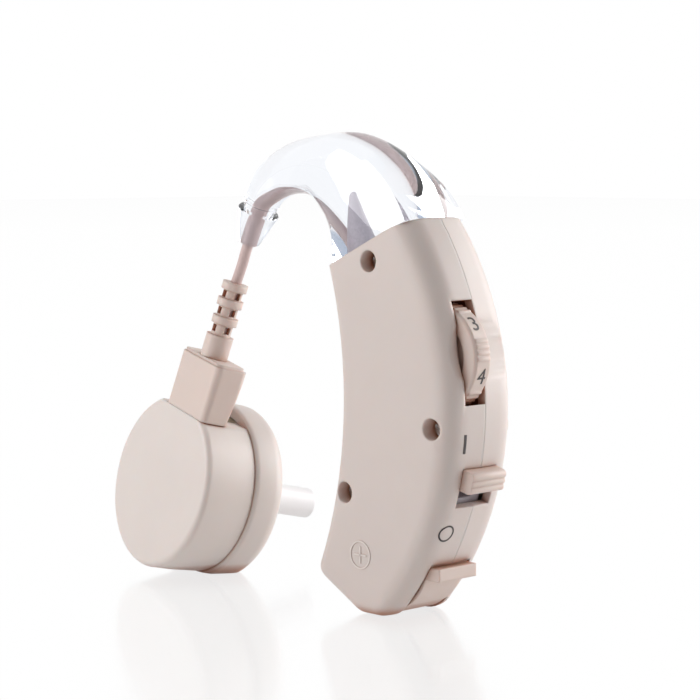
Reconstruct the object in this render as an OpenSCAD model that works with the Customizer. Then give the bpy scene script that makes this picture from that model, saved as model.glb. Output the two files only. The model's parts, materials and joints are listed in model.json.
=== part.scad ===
// Behind the ear hearing aid with a button receiver on a short lead.
// Frame: +Z up as worn, +X from the ear to the back of the case, -Y the broad face with the screws.
// The origin is the saddle, where the inside of the ear hook rests on top of the ear.

/* [Case] */
// Thickness of the case across both shells
case_t = 10.2; // [9.6:0.1:12]
// Width of the case at its waist, front to back
case_w = 16.4; // [15.8:0.1:19]
// Height from the saddle down to the lowest point of the case
case_drop = 43.4; // [43:0.2:47]
// Radius of the long curve down the spine of the case
spine_r = 32.2; // [30:0.2:36]
// Radius of the long hollow curve that faces the ear
hollow_r = 46; // [42:0.5:52]
// Distance from the saddle back to the spine at the waist
waist_x = 27.3; // [26:0.1:30]
// Depth of the waist below the saddle
waist_drop = 20.8; // [20:0.1:22]
// Wall of the shells
wall = 1; // [0.8:0.05:1.3]
// Rounding of the spine edges at the waist
spine_edge_r = 2.2; // [1.6:0.1:2.8]
// Rounding of the spine edges at the top
spine_top_edge_r = 3; // [2:0.1:3.2]
// Rounding of the edges on the hollow side
hollow_edge_r = 1.3; // [0.8:0.1:1.4]
// Slope of the case top where the hook sits
top_slope = 24.5; // [20:0.5:28]
// Draft of each half of the spine away from the parting line
spine_draft = 3; // [1:0.5:5]

/* [Ear hook] */
// Highest rise of the hook's centre line control points above the saddle
hook_rise = 5.6; // [5:0.1:7]
// Diameter of the hook's round end
hook_tip_d = 4.2; // [3.8:0.1:5]
// Diameter of the barb at the end of the hook
barb_d = 4.7; // [4.3:0.1:5.5]
// Length of the tapered barb
barb_len = 4.2; // [3.5:0.1:5]
// Diameter of the channel for the lead
channel_d = 1.7; // [1.6:0.05:2]

/* [Volume wheel] */
// Diameter of the volume wheel
wheel_d = 11.2; // [10.6:0.1:11.4]
// Thickness of the volume wheel
wheel_t = 2.4; // [2:0.1:2.5]
// Height that the wheel stands out of the spine
wheel_proud = 1.7; // [1.2:0.1:2]
// Grip ribs in each group on the rim
rib_count = 4; // [3:1:5]
// Diameter of the wheel's spindle
spindle_d = 1.6; // [1.2:0.1:2]

/* [Power switch] */
// Width of the switch knob
knob_w = 4.9; // [4:0.1:5.1]
// Height of the switch knob along its travel
knob_h = 2.3; // [2:0.1:2.6]
// Height that the knob stands out of the spine
knob_proud = 1.4; // [1:0.1:1.8]
// Travel of the switch
switch_travel = 1.9; // [1.5:0.1:2.2]

/* [Battery] */
// Diameter of the button cell
cell_d = 11.6; // [11.5:0.05:11.7]
// Thickness of the button cell
cell_t = 5.4; // [5:0.05:5.5]
// Width of the battery door
door_w = 5.6; // [5.5:0.05:5.8]
// Reach of the door's nail lip past the spine
lip_len = 1; // [0.6:0.1:1.6]
// Thickness of the nail lip
lip_t = 1.4; // [1:0.1:1.8]
// Diameter of the hinge pin
hinge_d = 1; // [0.8:0.1:1.2]

/* [Lead and plug] */
// Diameter of the lead
lead_d = 1.24; // [1.1:0.02:1.3]
// Length of the strain relief
relief_len = 9; // [8:0.1:10]
// Diameter of the strain relief's collars
relief_d = 3; // [2.8:0.1:3.4]
// Width of the plug
plug_w = 8.6; // [7.6:0.1:9]
// Height of the plug
plug_h = 6.9; // [6.5:0.1:8]
// Thickness of the plug at its top
plug_t = 4.2; // [3.6:0.1:4.6]
// Diameter of the plug's two pins
pin_d = 0.9; // [0.7:0.05:1]

/* [Receiver] */
// Diameter of the receiver's rear cover
receiver_d = 20.6; // [20.4:0.1:22]
// Diameter of the receiver's front cover where it meets the rear cover
front_d = 19.6; // [19:0.1:19.8]
// Diameter of the flat outer face
face_d = 18.6; // [17.8:0.1:18.8]
// Depth of the front cover
front_t = 6.7; // [6.2:0.1:7.4]
// Depth of the rear cover
rear_t = 4.4; // [4:0.1:5]
// Height of the plug seat above the receiver's axis
seat_h = 8.7; // [8.4:0.1:8.8]
// Diameter of the sound nozzle
nozzle_d = 3.6; // [3.2:0.1:4.2]
// Length of the sound nozzle past the rear cover
nozzle_len = 10.6; // [8:0.2:12]

/* [Hidden] */
// Clearances and fits
joint_gap = 0.15;
slide_gap = 0.05;
pin_gap = 0.03;
seat_gap = 0.02;
overrun = 1;
$fn = 72;
colour_case = "#CDBEB6";
colour_mould = "#C9B7AC";
colour_clear = [0.9, 0.94, 0.97, 0.45];
colour_lead = "#A8978F";

// Long curves of the case
half_t = case_t / 2;
spine_c = [waist_x - spine_r, -waist_drop];
hollow_c = [waist_x - case_w - hollow_r, -waist_drop];
nose_r = 4;
belly_r = 3;
heel_r = 1.6;
belly_flat = 2;
heel_slope = 29;
nose_z = nose_r - case_drop;
nose_c = [spine_c[0] + sqrt(pow(spine_r - nose_r, 2) - pow(nose_z - spine_c[1], 2)), nose_z];
nose_a = atan2(nose_c[1] - spine_c[1], nose_c[0] - spine_c[0]);
belly_c = [nose_c[0] - belly_flat, belly_r - case_drop];
slope_n = [-sin(heel_slope), -cos(heel_slope)];
slope_u = [-cos(heel_slope), sin(heel_slope)];
heel_w = belly_c + (belly_r - heel_r) * slope_n - hollow_c;
heel_b = heel_w * slope_u;
heel_run = -heel_b - sqrt(heel_b * heel_b - heel_w * heel_w + pow(hollow_r + heel_r, 2));
heel_c = hollow_c + heel_w + heel_run * slope_u;
heel_a = atan2(heel_c[1] - hollow_c[1], heel_c[0] - hollow_c[0]);
top_a = 37.2;
top_p = spine_c + spine_r * [cos(top_a), sin(top_a)];
top_w = [cos(top_slope), sin(top_slope)];
door_sink = 0.25;

// Rounded edges: how far the outline draws in at a height above the parting plane
level_shares = [0, 0.45, 0.62, 0.76, 0.87, 0.95, 1];
cavity_level_shares = [-0.2, 0.6, 0.85, 1];
function draw_in(y, half, r) = y <= half - r ? 0 : r - sqrt(max(0, r * r - pow(y - half + r, 2)));
function mix(a, b, s) = a + (b - a) * s;
function clamp_share(s) = min(1, max(0, s));
function spine_edge(a, less) = max(wall / 2,
    mix(spine_edge_r, spine_top_edge_r, clamp_share(a / top_a)) - less);
function hollow_edge(less) = max(wall / 2, hollow_edge_r - less);
function dir(a) = [cos(a), sin(a)];

// The case outline at height y, drawn in by an extra amount, as one loop of arcs that ends on the top plane
top_n = [-sin(top_slope), cos(top_slope)];
function top_meets(c, r, sink) = 90 + top_slope - acos(((top_p - sink * top_n - c) * top_n) / r);
top_q = hollow_c + hollow_r * dir(top_meets(hollow_c, hollow_r, 0));
top_len = norm(top_p - top_q);
function outline(y, half, extra, less, sink) =
    let(spine_in = extra + y * tan(spine_draft) + draw_in(y, half, spine_edge(0, less)),
        spine_top_in = extra + y * tan(spine_draft) + draw_in(y, half, spine_edge(top_a, less)),
        hollow_in = extra + draw_in(y, half, hollow_edge(less)),
        a1 = top_meets(spine_c, spine_r - spine_top_in, sink),
        a2 = top_meets(hollow_c, hollow_r + hollow_in, sink))
    concat(
    [for (i = [0:20]) let(a = mix(a1, nose_a, i / 20))
        spine_c + (spine_r - mix(spine_in, spine_top_in, clamp_share(a / a1))) * dir(a)],
    [for (i = [1:6]) let(s = i / 6)
        nose_c + (nose_r - mix(spine_in, hollow_in, s)) * dir(mix(nose_a, -90, s))],
    [for (i = [0:3]) belly_c + (belly_r - hollow_in) * dir(mix(-90, -90 - heel_slope, i / 3))],
    [for (i = [0:5]) heel_c + max(wall / 4, heel_r - hollow_in) * dir(mix(-90 - heel_slope, heel_a - 180, i / 5))],
    [for (i = [1:16]) hollow_c + (hollow_r + hollow_in) * dir(mix(heel_a, a2, i / 16))]);
function half_points(half, extra, less, sink, shares) = [
    for (s = shares) for (p = outline(half * max(0, s), half, extra, less, sink)) [p[0], -half * s, p[1]]];

// A loop's end face as a strip of triangles that zips its two sides together
function zip_face(n, base, flip) = [for (i = [0:floor(n / 2) - 1]) let(a = base + i, b = base + i + 1,
    c = base + n - 1 - i, d = base + n - 2 - i) each concat(
        b < d ? [flip ? [a, d, b] : [a, b, d]] : [],
        d > a ? [flip ? [a, c, d] : [a, d, c]] : [])];
module loft(points, n, rings) {
    faces = concat(
        [for (k = [0:rings - 2]) for (i = [0:n - 1]) let(j = (i + 1) % n)
            each [[k * n + i, k * n + j, (k + 1) * n + j], [k * n + i, (k + 1) * n + j, (k + 1) * n + i]]],
        zip_face(n, 0, true), zip_face(n, (rings - 1) * n, false));
    polyhedron(points, faces);
}
outline_n = len(outline(0, half_t, 0, 0, 0));
module outer_half() {
    loft(half_points(half_t, 0, 0, 0, level_shares), outline_n, len(level_shares));
}
module cavity_half() {
    loft(half_points(half_t - wall, wall, wall, roof, cavity_level_shares), outline_n, len(cavity_level_shares));
}
module along_y() { rotate([-90, 0, 0]) children(); }
module rod_y(r, y0, y1) { translate([0, y0, 0]) along_y() cylinder(r = r, h = y1 - y0); }
// A flat shape drawn in X and Z, given a thickness from y0 to y1
module slab_y(y0, y1) { translate([0, y1, 0]) rotate([90, 0, 0]) linear_extrude(height = y1 - y0) children(); }
module at(p) { translate([p[0], 0, p[1]]) children(); }
// A frame on the spine: X out of the surface, Z up along it
module on_spine(a) { at(spine_c) rotate([0, -a, 0]) translate([spine_r, 0, 0]) children(); }
// A frame on the cut top of the case: X up the slope to the spine, Z square to it
module on_top() { at(top_p) rotate([0, -top_slope, 0]) children(); }

// Wheel, switch and screw places
wheel_r = wheel_d / 2;
wheel_y = -1.5;
slot_trim = 0.2;
slot_half = wheel_r - slot_trim;
scallop_r = 12;
scallop_depth = 0.7;
switch_half = (knob_h + switch_travel) / 2 + slide_gap;
knob_rest = switch_travel / 2;
screw_r = 0.6;
screw_head_r = 1.1;
recess_r = 1.15;
recess_depth = 2.9;
post_r = 1.45;
boss_r = 1.4;
screw_top_inset = 5.4;
screw_top_drop = 4.6;
screw_back_inset = 2.8;
screw_low_inset = 1.9;
screw_low_a = -11.8;
housing_depth = 3;
housing_l = 6.9;
housing_w = 4.6;
housing_clear = 0.35;
housing_in = wall + pow(housing_l / 2, 2) / (2 * spine_r) + housing_clear;
screw_top = [top_p[0] - screw_top_inset, top_p[1] - screw_top_drop];
screw_low = hollow_c + (hollow_r + screw_low_inset) * dir(screw_low_a);

// Battery bay and hinge
cell_r = cell_d / 2;
ring_t = 0.42;
ring_r = cell_r + slide_gap + ring_t;
bay_r = ring_r + joint_gap;
cell_out = 1.1;
cell_up = 2.3;
cell_c = [heel_c[0] + cell_r + cell_out, heel_c[1] + cell_up];
switch_rise = 1.9;
switch_a = asin((cell_c[1] + cell_r + switch_rise - spine_c[1]) / spine_r);
post_clear = 1.25;
wheel_clear = 1.04;
screw_back_a = switch_a + (housing_l / 2 + post_r + post_clear) / spine_r * 180 / PI;
wheel_a = screw_back_a + (wheel_r + post_r + wheel_clear) / spine_r * 180 / PI;
screw_back = spine_c + (spine_r - screw_back_inset) * dir(screw_back_a);
screws = [screw_top, screw_back, screw_low];
wheel_c = spine_c + (spine_r + wheel_proud - wheel_r) * dir(wheel_a);
hinge_reach = cell_c - heel_c;
hinge_a = atan2(hinge_reach[1], hinge_reach[0]);
sweep_r = norm(hinge_reach) + ring_r;
knuckle_r = heel_r - door_sink;
cradle_open_a = [95, 188];
bay_half = door_w / 2 + joint_gap;
bulkhead_t = 0.8;
lip_under = 0.9;
lip_top = cell_c[1] - lip_under;
lip_front = spine_c[0] + sqrt(pow(spine_r, 2) - pow(lip_top - spine_c[1], 2)) + lip_len;
far_away = 2 * case_drop;

// Circuit board and what it carries
board_y = 0.3;
board_t = 0.8;
board_far = board_y + board_t;
track_t = 0.5;
roof = 1;
neck_w = 8.6;
neck_t = 5.4;
flange_over = 1;
flange_lap = 0.4;
flange_t = 1.2;
neck_x = -7.4;

// Hook centre line and its widths from the case top to the round end
hook_inset = 0.2;
hook_c0 = (top_p + top_q) / 2 + seat_gap * top_n;
hook_end = [-7.1, -0.35];
hook_end_a = -116;
hook_pull0 = 10.5;
hook_pull1 = 7.2;
hook_p1 = hook_c0 + hook_pull0 * [-sin(top_slope), cos(top_slope)];
hook_p2 = hook_end - hook_pull1 * dir(hook_end_a);
hook_stations = 15;
hook_sides = 32;
hook_width_shares = [1, 0.985, 0.955, 0.91, 0.85, 0.775, 0.665, 0.56, 0.5, 0.46, 0.425, 0.395, 0.37, 0.345, 0.331];
hook_depth_shares = [1, 0.985, 0.965, 0.93, 0.88, 0.82, 0.755, 0.69, 0.63, 0.58, 0.535, 0.5, 0.47, 0.44, 0.416];
hook_square_shares = [1, 0.85, 0.6, 0.4, 0.25, 0.15, 0.08, 0, 0, 0, 0, 0, 0, 0, 0];
function bezier(a, b, c, d, s) = pow(1 - s, 3) * a + 3 * pow(1 - s, 2) * s * b
    + 3 * (1 - s) * s * s * c + pow(s, 3) * d;
function bezier_dir(a, b, c, d, s) = pow(1 - s, 2) * (b - a) + 2 * (1 - s) * s * (c - b) + s * s * (d - c);

// The lead's route, chosen by hand: on the board, through the hook and out of the barb
held_route = [[12.5, -0.33, -12.2], [12.4, -0.33, -10.9], [12.2, -0.33, -9.6], [12, -0.25, -8.4], [11.6, -0.1, -7.2],
    [11.1, 0, -6], [10.4, 0, -4.9], [9.6, 0, -3.8], [8.6, 0, -2.7], [7.5, 0, -1.6], [6.3, 0, -0.6], [4.9, 0, 0.3],
    [3.4, 0, 1], [1.8, 0, 1.5], [0.1, 0, 1.8], [-1.6, 0, 1.8], [-3.2, 0, 1.6], [-4.6, 0, 1.1], [-5.9, 0, 0.5],
    [-6.9, 0, -0.3], [-7.7, 0, -1.7], [-8.4, 0, -3.05], [-9.3, 0, -4.9]];
free_route = [[-9.3, 0, -4.9], [-9.85, 0.03, -6], [-10.45, 0.12, -7.2], [-11.05, 0.12, -8.4], [-11.5, 0, -9.5]];
lead_sides = 8;

// Plug and receiver frames
relief_top = [-11.5, 0, -9.5];
plug_turn = -7.7;
plug_tip = 12.5;
plug_lean = 11.7;
plug_bottom_t = 3.2;
seat_drop = relief_len + plug_h + seat_h;
face_y = -1.8;
seam_y = face_y + front_t;
back_y = seam_y + rear_t;
pin_len = 2.3;
pin_root = 3;
pin_pitch = 3.2;
module on_relief() {
    translate(relief_top) rotate([0, 0, plug_turn]) rotate([-plug_tip, 0, 0]) rotate([0, plug_lean, 0])
        children();
}
receiver_aside = -0.9;
module on_receiver() { on_relief() translate([receiver_aside, 0, -seat_drop]) children(); }

// Shapes that both shells share
module half_plane_below(p, a) {
    translate(p) rotate(a) translate([-far_away, -2 * far_away]) square([2 * far_away, 2 * far_away]);
}
module outline_shape(extra) { polygon(outline(0, half_t, extra, 0, 0)); }
// Flat shape of the room that the door, its cradle and the cell need as they swing
module bay_shape() {
    translate(cell_c) difference() {
        circle(r = bay_r);
        difference() {
            polygon([[0, 0], far_away * dir(cradle_open_a[0]), 2 * far_away * dir(mix(cradle_open_a[0],
                cradle_open_a[1], 0.5)), far_away * dir(cradle_open_a[1])]);
            circle(r = cell_r + joint_gap);
        }
    }
    intersection() {
        translate(heel_c) circle(r = sweep_r + joint_gap);
        half_plane_below(heel_c, hinge_a);
    }
    translate(heel_c) circle(r = heel_r + joint_gap);
    translate([cell_c[0] + cell_r / 3, lip_top + joint_gap - far_away]) square([far_away, far_away]);
}
module bay_zone() {
    at(cell_c) rod_y(bay_r + bulkhead_t, -case_t, case_t);
    translate([-far_away, -case_t, cell_c[1] + cell_r / 2 - far_away])
        cube([2 * far_away, 2 * case_t, far_away]);
}
module shell_half(post) {
    difference() {
        union() {
            difference() {
                outer_half();
                difference() {
                    cavity_half();
                    bay_zone();
                }
            }
            for (p = screws) at(p) rod_y(post, -half_t + wall / 2, 0);
            children();
        }
        slab_y(-bay_half, overrun) bay_shape();
        on_top() translate([neck_x - neck_w / 2 - seat_gap, -neck_t / 2 - seat_gap, -2 * roof])
            cube([neck_w + 2 * seat_gap, neck_t + 2 * seat_gap, 4 * roof]);
        on_spine(wheel_a) translate([scallop_r - scallop_depth, 0, 0]) rod_y(scallop_r, -case_t, case_t);
        on_spine(switch_a) translate([-3 * wall, -knob_w / 2 - slide_gap, -switch_half])
            cube([6 * wall, knob_w + 2 * slide_gap, 2 * switch_half]);
        at(heel_c) rod_y(hinge_d / 2, -half_t + wall, half_t - wall);
        translate([cell_c[0] - contact_w / 2 - slide_gap, -bay_half - contact_t - slide_gap, cell_c[1]])
            cube([contact_w + 2 * slide_gap, contact_t + overrun, contact_h + slide_gap]);
        on_spine(switch_a) translate([-housing_in - housing_depth - seat_gap, -housing_w / 2 - seat_gap,
            -housing_l / 2 - seat_gap])
            cube([housing_depth + 2 * seat_gap, housing_w + 2 * seat_gap, housing_l + 2 * seat_gap]);
        on_spine(switch_a) translate([-housing_in - housing_depth - terminal_len - seat_gap, -board_y - terminal_t,
            -terminal_pitch - terminal_w])
            cube([terminal_len + 2 * seat_gap, 2 * board_y + 2 * terminal_t, 2 * terminal_pitch + 2 * terminal_w]);
    }
}

module near_shell() color(colour_case) difference() {
    shell_half(post_r);
    on_spine(wheel_a) translate([-3 * wall, wheel_y - wheel_t / 2 - joint_gap, -slot_half])
        cube([6 * wall, half_t, 2 * slot_half]);
    for (p = screws) at(p) {
        rod_y(recess_r, -half_t - overrun, -half_t + recess_depth);
        rod_y(screw_r + seat_gap, -half_t, overrun);
    }
}

mic_r = 3;
mic_t = 1.6;
mic_seat = 0.2;
mic_aside = 2;
mic_line = wheel_c - screw_top;
mic_c = (screw_top + wheel_c) / 2 + mic_aside * [mic_line[1], -mic_line[0]] / norm(mic_line);
inlet_r = 0.45;
inlet_pitch = 1.5;
shoulder_r = 1.9;
module far_shell() color(colour_case) difference() {
    mirror([0, 1, 0]) shell_half(boss_r)
        for (p = [screw_back, screw_low]) at(p) rod_y(shoulder_r, -half_t + wall / 2, -board_far - seat_gap);
    for (p = screws) at(p) rod_y(screw_r + seat_gap, -overrun, half_t - wall);
    at(mic_c) for (i = [-1:1]) translate([i * inlet_pitch * cos(60), 0, i * inlet_pitch * sin(60)])
        rod_y(inlet_r, 0, half_t + overrun);
}

hook_square_most_share = 0.72;
function superpoint(a, w, d, k) = let(c = cos(a), s = sin(a),
    q = mix(1, 1 / max(abs(c), abs(s)), hook_square_most_share * k)) [w * c * q, d * s * q];
module hook_horn() {
    n = hook_sides;
    points = [for (k = [0:hook_stations - 1]) let(s = k / (hook_stations - 1),
        c = bezier(hook_c0, hook_p1, hook_p2, hook_end, s),
        t = bezier_dir(hook_c0, hook_p1, hook_p2, hook_end, s), u = t / norm(t), w = [u[1], -u[0]])
        for (i = [0:n - 1]) let(p = superpoint(360 * i / n, hook_width_shares[k] * (top_len / 2 - hook_inset),
            hook_depth_shares[k] * (half_t - hook_inset), hook_square_shares[k]))
            [c[0] + w[0] * p[0], -p[1], c[1] + w[1] * p[0]]];
    loft(points, n, hook_stations);
}
module on_hook_end() { at(hook_end) rotate([0, 90 - hook_end_a, 0]) children(); }
barb_neck_len = 0.8;
barb_end_d = 2.4;
barb_groove = 0.5;
barb_edge = 0.1;
barb_land = 0.5;
module hook_barb() on_hook_end() rotate_extrude($fn = 48) polygon([[0, -barb_neck_len],
    [hook_tip_d / 2 - barb_groove, -barb_neck_len], [hook_tip_d / 2 - barb_groove, barb_neck_len],
    [barb_d / 2, barb_neck_len + barb_edge], [barb_d / 2 - barb_edge, barb_neck_len + barb_land],
    [barb_end_d / 2, barb_len + barb_neck_len], [0, barb_len + barb_neck_len]]);
// A tube of rings swept along hand picked points
function unit(v) = v / norm(v);
function route_dir(r, i) = unit(i == 0 ? r[1] - r[0] : i == len(r) - 1 ? r[i] - r[i - 1] : r[i + 1] - r[i - 1]);
module tube(route, d, sides) {
    points = [for (i = [0:len(route) - 1]) let(t = route_dir(route, i), w = [0, 1, 0],
        u = unit(cross(t, w)), v = cross(u, t))
        for (j = [0:sides - 1]) route[i] + d / 2 * (cos(360 * j / sides) * u + sin(360 * j / sides) * v)];
    loft(points, sides, len(route));
}
module ear_hook() color(colour_clear) difference() {
    union() {
        hook_horn();
        hook_barb();
        on_top() {
            translate([neck_x - neck_w / 2, -neck_t / 2, -roof - seat_gap]) cube([neck_w, neck_t, 2 * roof]);
            translate([neck_x - neck_w / 2 - flange_lap, -neck_t / 2 - flange_over, -roof - flange_t])
                cube([neck_w + flange_lap + flange_over, neck_t + 2 * flange_over, flange_t - seat_gap]);
        }
    }
    tube([for (i = [3:len(held_route) - 1]) held_route[i]], channel_d, 12);
    at(screw_top) rod_y(post_r + slide_gap, -case_t, case_t);
}

screw_head_t = 0.7;
screw_end_gap = 0.2;
screw_slot_l = 1.8;
screw_slot_w = 0.3;
screw_slot_depth = 0.35;
module case_screws() color("silver") for (p = screws) at(p) difference() {
    union() {
        rod_y(screw_head_r, -half_t + recess_depth - screw_head_t, -half_t + recess_depth);
        rod_y(screw_r, -half_t + recess_depth - seat_gap, half_t - wall - screw_end_gap);
    }
    for (a = [0, 90]) rotate([0, a, 0]) translate([-screw_slot_l / 2, -half_t, -screw_slot_w / 2])
        cube([screw_slot_l, recess_depth - screw_head_t + screw_slot_depth, screw_slot_w]);
}
module hinge_pin() color("silver") at(heel_c)
    rod_y(hinge_d / 2 - seat_gap, -half_t + wall + seat_gap, half_t - wall - seat_gap);

board_gap = 0.3;
chip_size = [4, 1.2, 6];
module board_shape() difference() {
    outline_shape(wall + board_gap);
    translate(cell_c) circle(r = bay_r + bulkhead_t + board_gap);
    translate([-far_away, cell_c[1] + cell_r / 2 + board_gap - far_away]) square([2 * far_away, far_away]);
    for (p = screws) translate(p) circle(r = boss_r + board_gap / 2);
    translate(wheel_c) circle(r = spindle_d / 2 + slide_gap);
    translate(top_p) rotate(top_slope) translate([-far_away, -roof - flange_t - board_gap])
        square([2 * far_away, far_away]);
    translate(spine_c) rotate(switch_a) translate([spine_r - wall - housing_depth - 2 * board_gap,
        housing_l / 2 + board_gap - far_away]) square([2 * housing_depth, far_away]);
}
module circuit_board() color("#2F6B3C") slab_y(board_y, board_far) board_shape();
chip_in_share = 0.72;
chip_drop = 3.2;
chip_c = [waist_x - chip_in_share * case_w, -waist_drop - chip_drop];
chip_leg_size = [1, 0.3, 0.4];
chip_leg_pitch = 0.8;
module amplifier_chip() color("#26272A") translate([chip_c[0], board_y - chip_size[1] / 2, chip_c[1]]) {
    cube([chip_size[0] - chip_leg_size[0], chip_size[1] - 2 * slide_gap, chip_size[2]], center = true);
    for (x = [-1, 1]) for (i = [-3:3]) translate([x * (chip_size[0] - chip_leg_size[0]) / 2,
        (chip_size[1] - chip_leg_size[1]) / 2, i * chip_leg_pitch]) cube(chip_leg_size, center = true);
}
capacitor_size = [1.6, 1, 2.4];
capacitor_pitch = 2.6;
module board_capacitors() color("#C9A24A") for (i = [0:2])
    translate([chip_c[0] + (i - 1) * capacitor_pitch, board_far + capacitor_size[1] / 2,
        chip_c[1] - chip_size[2] / 4]) cube(capacitor_size, center = true);
gasket_t = 0.4;
gasket_lip = 1;
module microphone() color("#B9BCC0") at(mic_c) difference() {
    rod_y(mic_r, board_far + mic_seat, board_far + mic_seat + mic_t);
    rod_y(inlet_r, board_far + mic_t / 2, half_t);
}
module microphone_gasket() color("#33322F") at(mic_c) difference() {
    rod_y(mic_r + gasket_t, board_far, half_t - wall - slide_gap);
    rod_y(mic_r, board_far - overrun, board_far + mic_seat + mic_t + seat_gap);
    rod_y(mic_r - gasket_lip, board_far, half_t);
}
track_margin = 0.2;
track_r = wheel_r - wheel_proud - wall - track_margin;
module volume_track() color("#8A5A33") at(wheel_c) difference() {
    rod_y(track_r, board_y - track_t + seat_gap, board_y);
    rod_y(spindle_d / 2 + slide_gap, -half_t, half_t);
}

stem_w = 1.6;
stem_h = 1.2;
stem_in = 1.6;
module switch_housing() color("#A9A6A8") on_spine(switch_a) difference() {
    translate([-housing_in - housing_depth, -housing_w / 2, -housing_l / 2])
        cube([housing_depth, housing_w, housing_l]);
    translate([-housing_in - stem_in - joint_gap, -stem_w / 2 - joint_gap,
        -switch_travel / 2 - stem_h / 2 - joint_gap])
        cube([housing_depth, stem_w + 2 * joint_gap, switch_travel + stem_h + 2 * joint_gap]);
}
terminal_len = 1.6;
terminal_t = 0.3;
terminal_w = 0.8;
terminal_pitch = 2.5;
module switch_terminals() color("silver") on_spine(switch_a) for (i = [-1:1])
    translate([-housing_in - housing_depth - terminal_len, board_y - terminal_t, i * terminal_pitch - terminal_w / 2])
        cube([terminal_len, terminal_t - seat_gap, terminal_w]);
knob_in = 0.3;
ridge_pitch_share = 0.294;
ridge_r_share = 0.2;
ridge_r = ridge_r_share * knob_h;
module switch_knob() color(colour_mould) on_spine(switch_a) translate([0, 0, knob_rest]) {
    translate([-wall - knob_in, -knob_w / 2, -knob_h / 2]) cube([wall + knob_in + knob_proud - ridge_r, knob_w, knob_h]);
    for (i = [-1:1]) translate([knob_proud - ridge_r, 0, i * ridge_pitch_share * knob_h])
        rod_y(ridge_r, -knob_w / 2, knob_w / 2);
    translate([-housing_in - stem_in, -stem_w / 2, -stem_h / 2]) cube([stem_in + housing_in - wall, stem_w, stem_h]);
}

rib_step = 6.6;
rib_r = 0.28;
wheel_bevel = 0.25;
wheel_dish = 0.5;
wheel_rim = 1.8;
rib_rise = 0.12;
wheel_land = wheel_r - rib_rise;
module volume_wheel() color(colour_mould) at(wheel_c) difference() {
    union() {
        translate([0, wheel_y, 0]) along_y() rotate_extrude() polygon([[0, -wheel_t / 2], [wheel_land - wheel_bevel,
            -wheel_t / 2], [wheel_land, wheel_bevel - wheel_t / 2], [wheel_land, wheel_t / 2 - wheel_bevel],
            [wheel_land - wheel_bevel, wheel_t / 2], [0, wheel_t / 2]]);
        for (g = [0:5]) for (i = [0:rib_count - 1])
            rotate([0, -wheel_a + 60 * g + (i - (rib_count - 1) / 2) * rib_step, 0]) translate([wheel_r - rib_r, 0, 0])
                rod_y(rib_r, wheel_y - wheel_t / 2 + wheel_bevel + slide_gap,
                    wheel_y + wheel_t / 2 - wheel_bevel - slide_gap);
    }
    rod_y(wheel_r - wheel_rim, wheel_y - wheel_t, wheel_y - wheel_t / 2 + wheel_dish);
    rod_y(spindle_d / 2 + seat_gap, -half_t, half_t);
}
spindle_sink = 0.15;
spindle_end = 0.5;
spindle_collar = 0.4;
spindle_slot_w = 0.4;
module wheel_spindle() color("#C8A95A") at(wheel_c) difference() {
    union() {
        rod_y(spindle_d / 2, wheel_y - wheel_t / 2 + 2 * spindle_sink, board_far + spindle_end);
        rod_y(spindle_d, wheel_y - wheel_t / 2 + spindle_sink, wheel_y - wheel_t / 2 + wheel_dish - seat_gap);
        rod_y(spindle_d / 2 + spindle_collar, board_far + slide_gap, board_far + spindle_end);
    }
    translate([-far_away, wheel_y - wheel_t / 2, -spindle_slot_w / 2])
        cube([2 * far_away, 2 * spindle_sink, spindle_slot_w]);
}

module door_slab() slab_y(-door_w / 2, door_w / 2) children();
module battery_door() color(colour_mould) difference() {
    union() {
        door_slab() translate(cell_c) difference() {
            circle(r = ring_r);
            polygon([[0, 0], far_away * dir(cradle_open_a[0]), 2 * far_away
                * dir(mix(cradle_open_a[0], cradle_open_a[1], 0.5)), far_away * dir(cradle_open_a[1])]);
        }
        door_slab() intersection() {
            outline_shape(door_sink);
            translate(heel_c) circle(r = sweep_r);
            half_plane_below(heel_c, hinge_a);
        }
        door_slab() intersection() {
            outline_shape(door_sink);
            translate([cell_c[0] + cell_r / 3 + joint_gap, lip_top - far_away]) square([far_away, far_away]);
        }
        door_slab() translate(heel_c) circle(r = knuckle_r);
        door_slab() translate([cell_c[0] + cell_r / 2, lip_top - lip_t])
            square([lip_front - cell_c[0] - cell_r / 2, lip_t - seat_gap]);
    }
    at(cell_c) rod_y(cell_r + slide_gap, -case_t, case_t);
    at(heel_c) rod_y(hinge_d / 2 + pin_gap, -case_t, case_t);
}
cap_inset = 1;
seal_t = 0.35;
seal_rise = 0.1;
cap_r = cell_r - cap_inset;
cap_t = 0.5;
module battery_can() color("#C9CBCE") at(cell_c) difference() {
    rod_y(cell_r, -cell_t / 2, cell_t / 2 - cap_t);
    rod_y(cap_r + seal_t, cell_t / 2 - 2 * cap_t, cell_t);
}
module battery_gasket() color("#3E6B57") at(cell_c) difference() {
    rod_y(cap_r + seal_t - seat_gap, cell_t / 2 - 2 * cap_t + seat_gap, cell_t / 2 - cap_t + seal_rise);
    rod_y(cap_r + seat_gap, -cell_t, cell_t);
}
module battery_cap() color("#B7B9BC") at(cell_c) rod_y(cap_r, cell_t / 2 - 2 * cap_t + seat_gap, cell_t / 2);

contact_t = 0.2;
contact_w = 2.2;
contact_tail = 0.6;
contact_h = bay_r + bulkhead_t + contact_tail;
module contact(side) {
    mirror([0, side > 0 ? 1 : 0, 0]) {
        translate([cell_c[0] - contact_w / 2, -bay_half - contact_t, cell_c[1]])
            cube([contact_w, contact_t - seat_gap, contact_h]);
    }
}
module contact_plus() color("#D8C37A") contact(-1);
module contact_minus() color("#D8C37A") contact(1);

module lead_in_hook() color(colour_lead) tube(held_route, lead_d, lead_sides);
module lead_free() color(colour_lead) tube(free_route, lead_d, lead_sides);

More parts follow.
